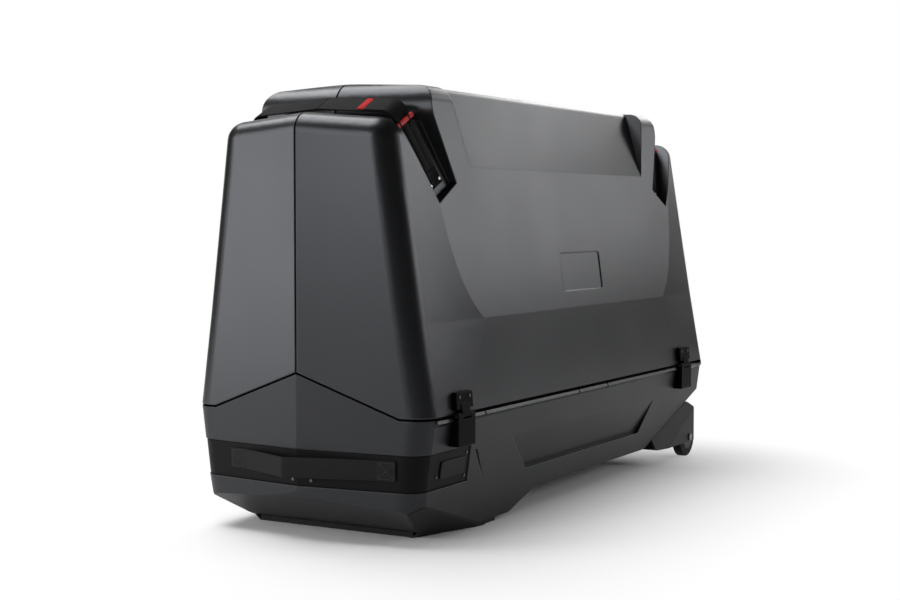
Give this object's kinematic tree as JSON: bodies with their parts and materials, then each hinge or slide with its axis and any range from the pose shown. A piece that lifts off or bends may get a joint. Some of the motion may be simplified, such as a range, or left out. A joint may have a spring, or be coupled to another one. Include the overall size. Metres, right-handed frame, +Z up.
{
  "type": "bike travel case",
  "caption": "Hard travel case for a bicycle: a tub on wheels and a skid closed by wing lids hinged on its long sides, with belts over the top and a webbing carry handle.",
  "frame": {"origin": "centre of the bounding box on the floor", "axes": "+X along the case from the handle end to the wheel end, +Y to the left lid, +Z up"},
  "size_m": [1.3614, 0.506, 0.7809],
  "materials": {
    "shell": "satin dark anthracite, fine grain",
    "band_plastic": "matt black",
    "hinge_plastic": "matt black",
    "housing_plastic": "satin dark grey",
    "badge_plastic": "semi-gloss black",
    "mount_plastic": "matt black",
    "hub_plastic": "matt black",
    "seal_rubber": "matt black",
    "foot_rubber": "matt black",
    "tyre_rubber": "matt black",
    "webbing": "ribbed black webbing",
    "ring_plastic": "satin red",
    "red_webbing": "red woven tape",
    "foam": "closed-cell foam",
    "rivet_steel": "plain steel",
    "pin_steel": "plain steel",
    "axle_steel": "plain steel",
    "rail_metal": "anodised"
  },
  "bodies": {
    "tub": {"badge": "badge_plastic", "band_rivets": "rivet_steel", "carry_handle": "webbing", "far_left_hinge_base": "hinge_plastic", "far_right_hinge_base": "hinge_plastic", "floor_pads": "foam", "fork_axle": "axle_steel", "fork_clamp": "mount_plastic", "frame_cradle": "mount_plastic", "front_skid": "foot_rubber", "handle_band": "band_plastic", "hinge_pins": "pin_steel", "left_wheel_axle": "axle_steel", "left_wheel_housing": "housing_plastic", "mount_rail": "rail_metal", "near_left_hinge_base": "hinge_plastic", "near_right_hinge_base": "hinge_plastic", "rail_screws": "axle_steel", "right_wheel_axle": "axle_steel", "right_wheel_housing": "housing_plastic", "rim_seal": "seal_rubber", "tub_shell": "shell"},
    "right_lid": {"far_anchor_strap": "webbing", "far_belt_ring": "ring_plastic", "far_pull_tab": "red_webbing", "far_right_belt": "webbing", "far_right_hinge_leaf": "hinge_plastic", "near_anchor_strap": "webbing", "near_belt_ring": "ring_plastic", "near_pull_tab": "red_webbing", "near_right_belt": "webbing", "near_right_hinge_leaf": "hinge_plastic", "right_belt_rivets": "rivet_steel", "right_leaf_rivets": "rivet_steel", "right_lid_shell": "shell", "right_liner": "foam", "seam_seal": "seal_rubber"},
    "left_lid": {"far_left_belt": "webbing", "far_left_hinge_leaf": "hinge_plastic", "left_belt_rivets": "rivet_steel", "left_leaf_rivets": "rivet_steel", "left_lid_shell": "shell", "left_liner": "foam", "near_left_belt": "webbing", "near_left_hinge_leaf": "hinge_plastic"},
    "right_wheel": {"right_hub": "hub_plastic", "right_tyre": "tyre_rubber"},
    "left_wheel": {"left_hub": "hub_plastic", "left_tyre": "tyre_rubber"}
  },
  "joints": [
    {"name": "right_lid_hinge", "type": "hinge", "parent": "tub", "child": "right_lid", "pos_m": [0, -0.2475, 0.215], "axis": [1, 0, 0], "range_deg": [0, 105]},
    {"name": "left_lid_hinge", "type": "hinge", "parent": "tub", "child": "left_lid", "pos_m": [0, 0.2475, 0.215], "axis": [-1, 0, 0], "range_deg": [0, 105]},
    {"name": "right_wheel_spin", "type": "hinge", "parent": "tub", "child": "right_wheel", "pos_m": [0.56168, -0.224, 0.044], "axis": [0, 1, 0], "continuous": true},
    {"name": "left_wheel_spin", "type": "hinge", "parent": "tub", "child": "left_wheel", "pos_m": [0.56168, 0.224, 0.044], "axis": [0, 1, 0], "continuous": true}
  ]
}
